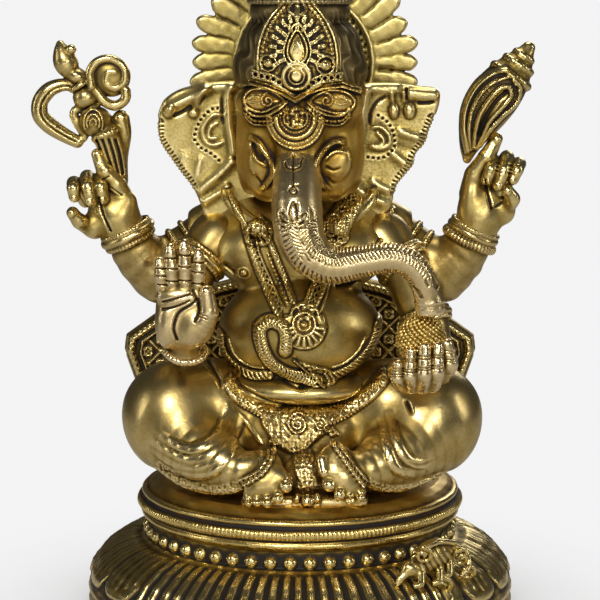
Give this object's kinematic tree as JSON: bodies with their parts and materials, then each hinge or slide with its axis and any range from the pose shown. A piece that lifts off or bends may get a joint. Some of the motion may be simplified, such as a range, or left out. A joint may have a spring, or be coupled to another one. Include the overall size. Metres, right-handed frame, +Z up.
{
  "type": "seated deity statue",
  "caption": "Cast brass elephant-headed deity seated on a drum seat over a round lotus-petal base, with a rayed halo and a cushion behind.",
  "frame": {"origin": "on the floor, on the axis of the round base", "axes": "+Z up, the figure faces -Y, its own right side is -X; the halo and cushion are on the +Y side"},
  "size_m": [0.246, 0.216, 0.336],
  "materials": {
    "polished_brass": "polished high points over darker patina",
    "aged_brass": "satin, dark patina in the relief",
    "halo_brass": "satin, finely pitted",
    "steel": "dull"
  },
  "bodies": {
    "root": {"lotus_base": "aged_brass", "seat": "aged_brass", "mouse": "aged_brass", "cushion": "aged_brass", "torso": "polished_brass", "legs": "polished_brass", "head": "polished_brass", "crown": "aged_brass", "crown_plate": "polished_brass", "trunk": "polished_brass", "left_ear": "polished_brass", "right_ear": "polished_brass", "halo": "halo_brass", "right_rear_arm": "polished_brass", "left_rear_arm": "polished_brass", "right_rear_hand": "polished_brass", "left_rear_hand": "polished_brass", "goad": "polished_brass", "conch": "polished_brass", "sweet": "aged_brass", "right_front_arm": "polished_brass", "left_front_arm": "polished_brass", "right_front_hand": "polished_brass", "left_front_hand": "polished_brass", "clamp_bolt": "steel", "clamp_washer": "steel", "halo_screws": "steel", "cushion_screws": "steel"}
  },
  "joints": []
}
